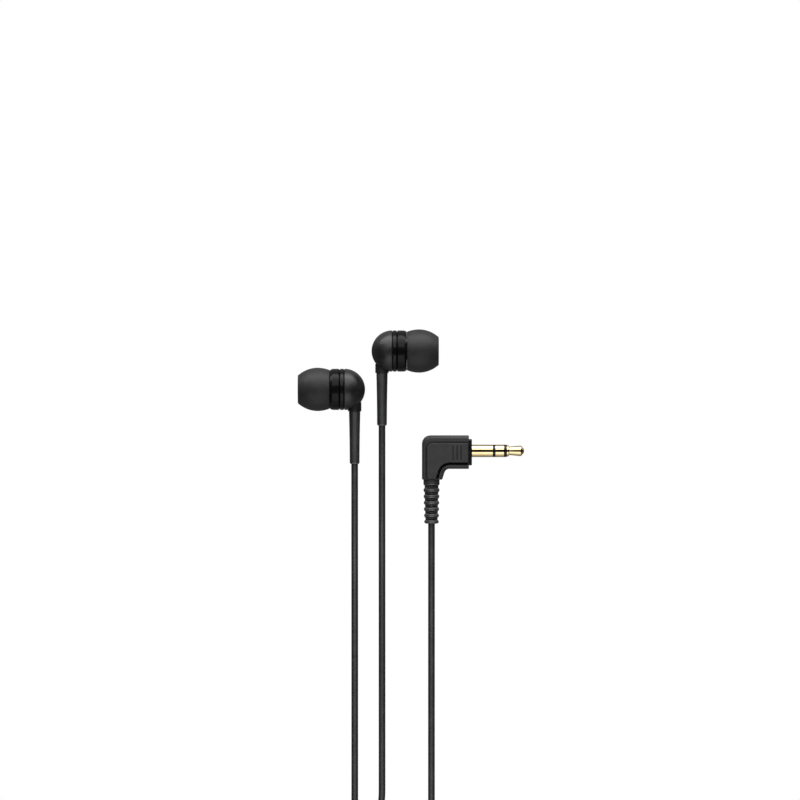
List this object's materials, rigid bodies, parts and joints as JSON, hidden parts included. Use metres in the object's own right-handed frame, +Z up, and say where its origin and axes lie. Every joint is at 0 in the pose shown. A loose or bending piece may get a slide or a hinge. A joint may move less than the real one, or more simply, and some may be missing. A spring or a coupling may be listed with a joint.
{
  "type": "wired earphones",
  "caption": "In-ear wired earphones with soft domed ear tips on short straight nozzles, tapered cord boots, a splitter, tied coils of thin cord and a right-angle stereo jack plug.",
  "frame": {"origin": "on the surface the earphones lie on, below the middle of the box round the two earpieces and their boots", "axes": "+Z up from the surface; -Y along the cords, away from the earpieces; +X along the right earpiece's nozzle"},
  "size_m": [0.0637, 0.2262, 0.0122],
  "materials": {
    "housing": "satin moulded, fine grain",
    "trim": "polished",
    "silicone": "matte silicone",
    "steel_mesh": "woven",
    "felt": "open felt",
    "steel": "nickel plated",
    "magnet": "nickel plated",
    "copper": "enamelled",
    "film": "thin film",
    "brass": "plain",
    "board": "solder mask",
    "moulding": "hard, smooth",
    "boot": "soft, smooth",
    "cord": "smooth sheath",
    "tie": "woven hook tape",
    "plug_rubber": "matte, fine grain",
    "gold": "polished gold plate",
    "insulator": "smooth"
  },
  "bodies": {
    "root": {"left_rear_shell": "housing", "left_front_shell": "housing", "left_trim_ring": "trim", "left_nozzle_mesh": "steel_mesh", "left_nozzle_damper": "felt", "left_driver_frame": "steel", "left_driver_cover": "steel", "left_yoke": "steel", "left_magnet": "magnet", "left_top_plate": "steel", "left_diaphragm_ring": "brass", "left_terminal_board": "board", "left_lead_wires": "copper", "left_cord_anchor": "moulding", "left_boot": "boot", "right_rear_shell": "housing", "right_front_shell": "housing", "right_trim_ring": "trim", "right_nozzle_mesh": "steel_mesh", "right_nozzle_damper": "felt", "right_driver_frame": "steel", "right_driver_cover": "steel", "right_yoke": "steel", "right_magnet": "magnet", "right_top_plate": "steel", "right_diaphragm_ring": "brass", "right_terminal_board": "board", "right_lead_wires": "copper", "right_cord_anchor": "moulding", "right_boot": "boot", "left_cord": "cord", "right_cord": "cord", "left_cord_tail": "cord", "right_cord_tail": "cord", "branch_coil": "cord", "main_cord": "cord", "main_cord_tail": "cord", "main_coil": "cord", "branch_tie": "tie", "main_tie": "tie", "splitter_body": "boot", "splitter_core": "moulding", "splitter_joints": "copper", "plug_body": "plug_rubber", "plug_core": "moulding", "plug_sleeve": "gold", "plug_ring": "gold", "plug_tip": "gold", "plug_insulators": "insulator", "plug_ground_tab": "brass", "plug_wires": "copper", "plug_strain_relief": "plug_rubber"},
    "left_tip": {"left_ear_tip": "silicone"},
    "left_cone": {"left_diaphragm": "film", "left_voice_coil": "copper"},
    "right_tip": {"right_ear_tip": "silicone"},
    "right_cone": {"right_diaphragm": "film", "right_voice_coil": "copper"}
  },
  "joints": [
    {"name": "left_tip_pull_off", "type": "slide", "parent": "root", "child": "left_tip", "axis": [-1, 0, 0], "range_m": [0, 0.009]},
    {"name": "left_cone_travel", "type": "slide", "parent": "root", "child": "left_cone", "axis": [-1, 0, 0], "range_m": [-0.0002, 0.0002], "stiffness_N_per_m": 100},
    {"name": "right_tip_pull_off", "type": "slide", "parent": "root", "child": "right_tip", "axis": [1, 0, 0], "range_m": [0, 0.009]},
    {"name": "right_cone_travel", "type": "slide", "parent": "root", "child": "right_cone", "axis": [1, 0, 0], "range_m": [-0.0002, 0.0002], "stiffness_N_per_m": 100}
  ]
}
